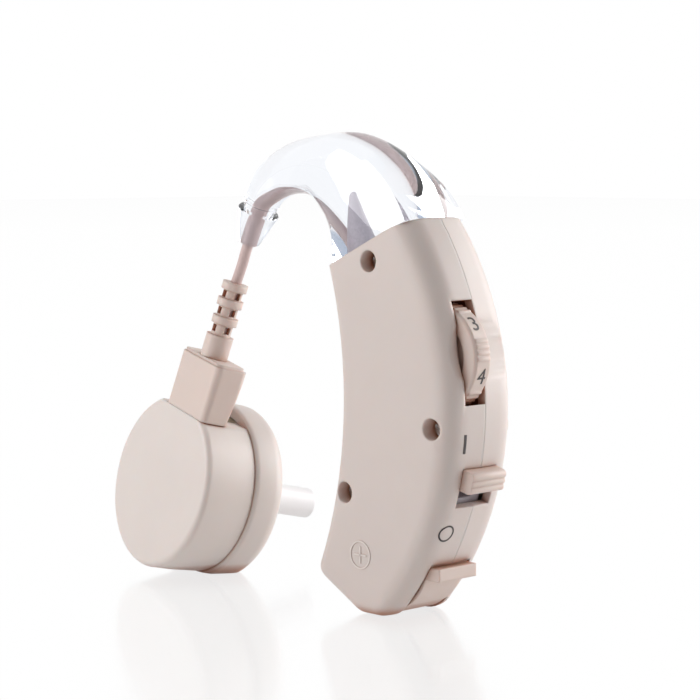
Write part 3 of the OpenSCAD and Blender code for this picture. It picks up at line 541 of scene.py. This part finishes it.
# %% Outside of the hook, groove and barb
tip_rings = [(0, 1.62), (0.8, 1.62), (0.88, 2.28), (0.96, 2.35), (1.1, 2.35), (1.3, 2.25), (2.4, 1.95),
             (4.6, 1.32), (4.85, 1.2), (4.98, 1.05)]
outside = [point for r in range(hook_rings) for point in hook_ring(r / (hook_rings - 1))]
tip_place, tip_ahead = hook_line(1)
tip_across = Vector((tip_ahead.z, 0, -tip_ahead.x))


def tip_ring(along, radius):
    ring = []
    for k in range(hook_sides):
        turn = 2 * math.pi * k / hook_sides
        ring.append((tip_place + tip_ahead * along + tip_across * (radius * math.cos(turn))
                     + Vector((0, -radius * math.sin(turn), 0))) * mm)
    return ring


for along, radius in tip_rings:
    outside += tip_ring(along, radius)
print("outside rings:", hook_rings + len(tip_rings))

# %% [markdown]
# The bore has to have the same number of sides as the outside, because the two are joined ring to ring
# at the barb and at the case.

# %% Bore
bore_r = 0.85
bore_lowest = -5.2
bore_leftmost = -9.0
bore_foot = Vector((10.98, 0, -5.79))
bore_line = [point for point in route if point.z > bore_lowest * mm and point.x > bore_leftmost * mm]


def circle_at(place, ahead, radius):
    across = Vector((ahead.z, 0, -ahead.x))
    turns = [2 * math.pi * k / hook_sides for k in range(hook_sides)]
    return [place + radius * (math.cos(t) * across - math.sin(t) * Vector((0, 1, 0))) for t in turns]


bore_rings = []
for i, place in enumerate(bore_line):
    ahead = (bore_line[min(i + 1, len(bore_line) - 1)] - bore_line[max(i - 1, 0)]).normalized()
    bore_rings.append(circle_at(place, ahead, bore_r * mm))
mouth = circle_at((tip_place + tip_ahead * tip_rings[-1][0]) * mm, tip_ahead, bore_r * mm)
foot = circle_at(bore_foot * mm, top_normal, bore_r * mm)
rings = [outside[i:i + hook_sides] for i in range(0, len(outside), hook_sides)]
rings += [mouth] + bore_rings[::-1] + [foot]
hook_faces = ring_faces(len(rings), hook_sides)
bore_from = (hook_rings + len(tip_rings)) * hook_sides
close = (len(rings) - 1) * hook_sides
hook_faces += [(close + k, close + (k + 1) % hook_sides, (k + 1) % hook_sides, k) for k in range(hook_sides)]
hook = new_mesh("clear_hook", [point for ring in rings for point in ring], hook_faces)
edit_all(hook, lambda: bpy.ops.mesh.normals_make_consistent(inside=False))
pick(hook)
bpy.ops.object.shade_smooth_by_angle(angle=crease_angle)
print("hook:", len(hook.data.polygons), "faces, bore rings", len(bore_rings))

# %% [markdown]
# At the case the bore opens into a cone, the socket that the moulder's core left. Its skin is frosted, and
# seen from outside it is a dull mauve wedge in the clear plastic. It is modelled as a closed cone of its
# own that stands in the hook.

# %% Frosted socket in the hook
bpy.ops.object.select_all(action="DESELECT")
socket_foot = Vector((11.8, 0, -5.2))
socket_tip = Vector((9.9, 0, 0.9))
socket_foot_r = 2.1
socket_tip_r = 0.35
socket_edge = 0.3
socket_axis = socket_tip - socket_foot
bpy.ops.mesh.primitive_cone_add(vertices=48, radius1=socket_foot_r * mm, radius2=socket_tip_r * mm,
                                depth=socket_axis.length * mm)
socket = bpy.context.object
socket.name = "hook_socket"
socket.rotation_euler = socket_axis.to_track_quat("Z", "Y").to_euler()
socket.location = (socket_foot + socket_tip) / 2 * mm
settle(socket)
apply_modifier(socket, "soft tip", "BEVEL", width=socket_edge * mm, segments=3, limit_method="ANGLE",
               angle_limit=crease_angle)
print("socket length", round(socket_axis.length, 1), "mm")

# %% [markdown]
# Clear acrylic bends light by 1.49 and keeps a hint of blue, and its skin has a slow ripple from cooling. The
# lead is bonded in the bore with a resin that has the same index, so light goes straight on there, and the
# lead looks half as thick again as it is.

# %% Clear and frosted acrylic
ripple_mm = 4
ripple_depth_mm = 0.3
clear, clear_tree, clear_shader = start_material("clear_moulded_acrylic", Roughness=0.02, IOR=1.49,
                                                 Transmission_Weight=1.0)
clear_shader.inputs["Base Color"].default_value = colour("#F8FAFE")
flow = add(clear_tree, "TexNoise", {"Vector": add(clear_tree, "TexCoord").outputs["Object"],
                                    "Scale": 1 / (ripple_mm * mm), "Detail": 1.0})
ripple = add(clear_tree, "Bump", {"Height": flow.outputs[0], "Strength": 0.08,
                                   "Distance": ripple_depth_mm * mm})
clear_tree.links.new(ripple.outputs[0], clear_shader.inputs["Normal"])
frosted = grained("frosted_acrylic_socket", "#DDD0D9", 0.5, 0.3, 0.4, 0.35, Alpha=0.72)
bond = start_material("clear_bonding_resin", Alpha=0.03, Roughness=0.3, IOR=1.0)[0]
coat(hook, clear, bond)
for face in hook.data.polygons:
    face.material_index = int(bore_from <= face.index < bore_from + (len(bore_rings) - 1) * hook_sides)
coat(socket, frosted)
for piece in (hook, socket):
    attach(piece, "case")
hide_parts("ear_hook")
print("hook material:", clear.name)


# %% [markdown]
# ## Signs
# The wheel carries plain numbers, the switch has a bar for on and a ring for off, and the near face has a
# small moulded plus in a ring for the battery's polarity. Print is a film of ink a few hundredths of a
# millimetre thick: each sign is a flat mesh cut into small faces and dropped onto the surface under it.

# %% A helper that lays a flat sign on a surface
ink_t = 0.02
ink_lift = 0.01


def lay_on(piece, ground, direction):
    for vertex in piece.data.vertices:
        start, way = direction(vertex.co)
        hit, place, normal, _ = ground.ray_cast(start, way)
        if hit:
            vertex.co = place - way * ink_lift * mm
    piece.data.update()


def finish_sign(piece, ground, direction, material, body, thickness=ink_t):
    lay_on(piece, ground, direction)
    apply_modifier(piece, "film", "SOLIDIFY", thickness=thickness * mm, offset=1.0)
    edit_all(piece, lambda: bpy.ops.mesh.normals_make_consistent(inside=False))
    coat(piece, material)
    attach(piece, body)


ink = moulded("dark_pad_print_ink", "#3A3130", 0.45, rub=0.0)
print("ink film", ink_t, "mm")

# %% [markdown]
# Each number is text turned into a mesh. It starts flat in front of the spine, and every point is sent
# towards the wheel's axle until it meets the rim. The wheel has six numbers, 60 degrees apart, halfway
# between its groups of ribs.

# %% Numbers on the wheel
joints = {joint["name"]: joint for joint in frame["record"]["behaviour"]["joints"]}
wheel_low, wheel_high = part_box("volume_wheel")
wheel_axle = Vector(joints["volume_turn"]["pos_m"])
wheel_middle_y = (wheel_low[1] + wheel_high[1]) / 2
wheel_r = (wheel_high[0] - wheel_low[0]) / 2
wheel_lean = math.radians(10.58)
number_h = 1.75 * mm
number_step = 60
first_in_view = 3
capital_share = 0.7
number_cuts = 4
wheel_laid = 1.1
wheel_start = 1.2


def flat_text(name, words, height):
    bpy.ops.object.select_all(action="DESELECT")
    bpy.ops.object.text_add()
    piece = bpy.context.object
    piece.name = name
    piece.data.body = words
    piece.data.size = height / capital_share
    piece.data.align_x = "CENTER"
    piece.data.align_y = "CENTER"
    piece.data.resolution_u = 4
    bpy.ops.object.convert(target="MESH")
    edit_all(piece, lambda: bpy.ops.mesh.remove_doubles(threshold=merge_mm / 2 * mm),
             lambda: bpy.ops.mesh.quads_convert_to_tris(),
             lambda: bpy.ops.mesh.subdivide(number_cuts=number_cuts))
    return piece


def towards_axle(point):
    flat = Vector((wheel_axle.x, point.y, wheel_axle.z))
    way = (flat - point).normalized()
    return flat - way * wheel_r * wheel_start, way


for number in range(1, 7):
    sign = flat_text("wheel_number_%d" % number, str(number), number_h)
    lean = wheel_lean + math.radians(number_step * (0.5 + first_in_view - number))
    for vertex in sign.data.vertices:
        turn = lean + vertex.co.y / wheel_r
        outwards = Vector((math.cos(turn), 0, math.sin(turn))) * wheel_r * wheel_laid
        vertex.co = wheel_axle + outwards + Vector((0, wheel_middle_y + vertex.co.x, 0))
    finish_sign(sign, skins["volume_wheel"], towards_axle, ink, "volume_wheel")
print("six numbers,", round(number_h / mm, 2), "mm tall")

# %% [markdown]
# The bar and the ring stand above and below the switch, on the near half of the spine. They are placed
# by their angle on the spine's long curve, and sent straight in towards that curve's centre.

# %% Bar and ring by the switch
spine_centre = Vector((-4.9, 0, -20.8)) * mm
spine_r = 32.2 * mm
sign_y = -2.68 * mm
spine_laid = 1.02
spine_start = 1.05


def towards_spine(point):
    flat = Vector((spine_centre.x, point.y, spine_centre.z))
    way = (flat - point).normalized()
    return flat - way * spine_r * spine_start, way


def onto_spine(piece, angle):
    for vertex in piece.data.vertices:
        turn = math.radians(angle) + vertex.co.y / spine_r
        outwards = Vector((math.cos(turn), 0, math.sin(turn))) * spine_r * spine_laid
        vertex.co = spine_centre + outwards + Vector((0, sign_y + vertex.co.x, 0))
    finish_sign(piece, skins["near_shell"], towards_spine, ink, "case")


bar_w = 0.34 * mm
bar_l = 2.0 * mm
bar_angle = -6.2
ring_outer = 0.98 * mm
ring_inner = 0.8 * mm
ring_angle = -23.85
bpy.ops.object.select_all(action="DESELECT")
bpy.ops.mesh.primitive_grid_add(x_subdivisions=2, y_subdivisions=12, size=1)
bar = bpy.context.object
bar.name = "switch_on_bar"
bar.scale = (bar_w, bar_l, 1)
settle(bar)
onto_spine(bar, bar_angle)
bpy.ops.object.select_all(action="DESELECT")
bpy.ops.mesh.primitive_circle_add(vertices=48, radius=ring_outer, fill_type="NGON")
ring = bpy.context.object
ring.name = "switch_off_ring"
edit_all(ring, lambda: bpy.ops.mesh.inset(thickness=ring_outer - ring_inner),
         lambda: bpy.ops.mesh.delete(type="FACE"))
print("ring faces:", len(ring.data.polygons))
onto_spine(ring, ring_angle)

# %% [markdown]
# The polarity mark isn't printed: it is cut in the mould, so it stands up from the plastic by a few
# hundredths of a millimetre. In the photograph its thin lines look paler than the face around them, so
# its plastic is drawn one step paler.

# %% Moulded polarity mark
mark_place = Vector((14.2, 0, -37.0)) * mm
mark_r = 1.52 * mm
mark_line = 0.16 * mm
mark_raised = 0.07
stroke_l = 1.8 * mm
stroke_w = 0.2 * mm
face_clear = 3 * mm
face_start_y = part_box("near_shell")[0][1] - face_clear
# The mark is the case plastic drawn one step paler: a painted highlight on its raised lines.
mark_highlight_abs = grained("raised_abs_painted_highlight", "#DDD2CC", 0.4, spark_mm, 0.1)
bpy.ops.object.select_all(action="DESELECT")
bpy.ops.mesh.primitive_circle_add(vertices=48, radius=mark_r, fill_type="NGON")
mark = bpy.context.object
mark.name = "polarity_mark"
edit_all(mark, lambda: bpy.ops.mesh.inset(thickness=mark_line), lambda: bpy.ops.mesh.delete(type="FACE"))
strokes = []
for size in ((stroke_l, stroke_w), (stroke_w, stroke_l)):
    bpy.ops.object.select_all(action="DESELECT")
    bpy.ops.mesh.primitive_grid_add(x_subdivisions=7, y_subdivisions=7, size=1)
    stroke = bpy.context.object
    stroke.scale = (*size, 1)
    settle(stroke)
    strokes.append(stroke)


def towards_face(point):
    return Vector((point.x, face_start_y, point.z)), sideways


for piece in [mark, *strokes]:
    for vertex in piece.data.vertices:
        vertex.co = mark_place + Vector((vertex.co.x, 0, vertex.co.y))
    finish_sign(piece, skins["near_shell"], towards_face, mark_highlight_abs, "case",
                mark_raised)
for number, stroke in enumerate(strokes):
    stroke.name = "polarity_stroke_%d" % (number + 1)
print("mark at", [round(v / mm, 1) for v in mark_place])

# %% [markdown]
# ## Floor and light
# The photograph was taken on a glossy white sheet in a bright tent. The case stands on the floor, which
# takes a soft shadow and a faint reflection. The background is white because the world is white for rays
# that come straight from the camera or off gloss and glass, and not because more light falls on the object.
# What the clear hook shows of the tent is white behind the aid and grey-blue on the other side, which draws
# its soft streaks.

# %% Floor
def seen_directly(tree):
    path = add(tree, "LightPath")
    either = add(tree, "Math", {0: path.outputs["Is Camera Ray"], 1: path.outputs["Is Glossy Ray"]},
                 operation="MAXIMUM")
    return add(tree, "Math", {0: either.outputs[0], 1: path.outputs["Is Transmission Ray"]},
               operation="MAXIMUM").outputs[0]


floor_gap = 0.05 * mm
floor_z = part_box("near_shell")[0][2] - floor_gap
floor_size = 4
gloss_share = 0.22
gloss_blur = 0.15
bpy.ops.object.select_all(action="DESELECT")
bpy.ops.mesh.primitive_plane_add(size=floor_size, location=(0, 0, floor_z))
floor = bpy.context.object
floor.name = "floor"
floor_material = bpy.data.materials.new("white_acrylic_sheet")
floor_material.use_nodes = True
floor_tree = floor_material.node_tree
floor_tree.nodes.clear()
glow = add(floor_tree, "Emission", {"Color": (1, 1, 1, 1), "Strength": 1.0})
matt = add(floor_tree, "BsdfDiffuse", {"Color": colour("#F4F4F4")})
mirror = add(floor_tree, "BsdfGlossy", {"Color": (1, 1, 1, 1), "Roughness": gloss_blur})
base = add(floor_tree, "MixShader", {0: seen_directly(floor_tree), 1: matt.outputs[0], 2: glow.outputs[0]})
sheen = add(floor_tree, "MixShader", {0: gloss_share, 1: base.outputs[0], 2: mirror.outputs[0]})
add(floor_tree, "OutputMaterial", {"Surface": sheen.outputs[0]})
coat(floor, floor_material)
print("floor at", round(floor_z / mm, 2), "mm")

# %% World
world = bpy.data.worlds.new("light_tent")
bpy.context.scene.world = world
world.use_nodes = True
back_wall = (-0.72, 0.69, 0)
wall_edge = 0.1
wall_full = 0.8
tent_level = 0.38
world_tree = world.node_tree
level = add(world_tree, "MapRange", {"Value": seen_directly(world_tree), "To Min": tent_level, "To Max": 1.0})
backwards = add(world_tree, "VectorMath", {0: add(world_tree, "TexCoord").outputs["Generated"], 1: back_wall},
                operation="DOT_PRODUCT")
wall = add(world_tree, "MapRange", {"Value": backwards.outputs["Value"], "From Min": wall_edge,
                                       "From Max": wall_full})
tent = add(world_tree, "Mix", {0: wall.outputs[0], 6: colour("#B7C1D1"), 7: (1, 1, 1, 1)}, data_type="RGBA")
through_glass = add(world_tree, "LightPath").outputs["Is Transmission Ray"]
tint = add(world_tree, "Mix", {0: through_glass, 6: (1, 1, 1, 1), 7: tent.outputs[2]}, data_type="RGBA")
backdrop = world_tree.nodes["Background"]
world_tree.links.new(level.outputs[0], backdrop.inputs["Strength"])
world_tree.links.new(tint.outputs[2], backdrop.inputs["Color"])
print("world:", world.name)


# %% Softboxes
lamp_size = 200
lamp_target = (0, 0, -20)


def softbox(name, place, power):
    bpy.ops.object.light_add(type="AREA", location=Vector(place) * mm)
    lamp = bpy.context.object
    lamp.name = name
    lamp.data.size = lamp_size * mm
    lamp.data.energy = power
    aim = Vector(lamp_target) * mm - lamp.location
    lamp.rotation_euler = aim.to_track_quat("-Z", "Y").to_euler()
    print(name, "lamp:", power, "W")


softbox("key", (125, 225, 60), 0.68)
softbox("fill", (-165, -220, 105), 0.55)

# %% [markdown]
# ## View transform
# The view transform is Standard, so a colour renders as it is written.

# %% View transform
bpy.context.scene.view_settings.view_transform = "Standard"
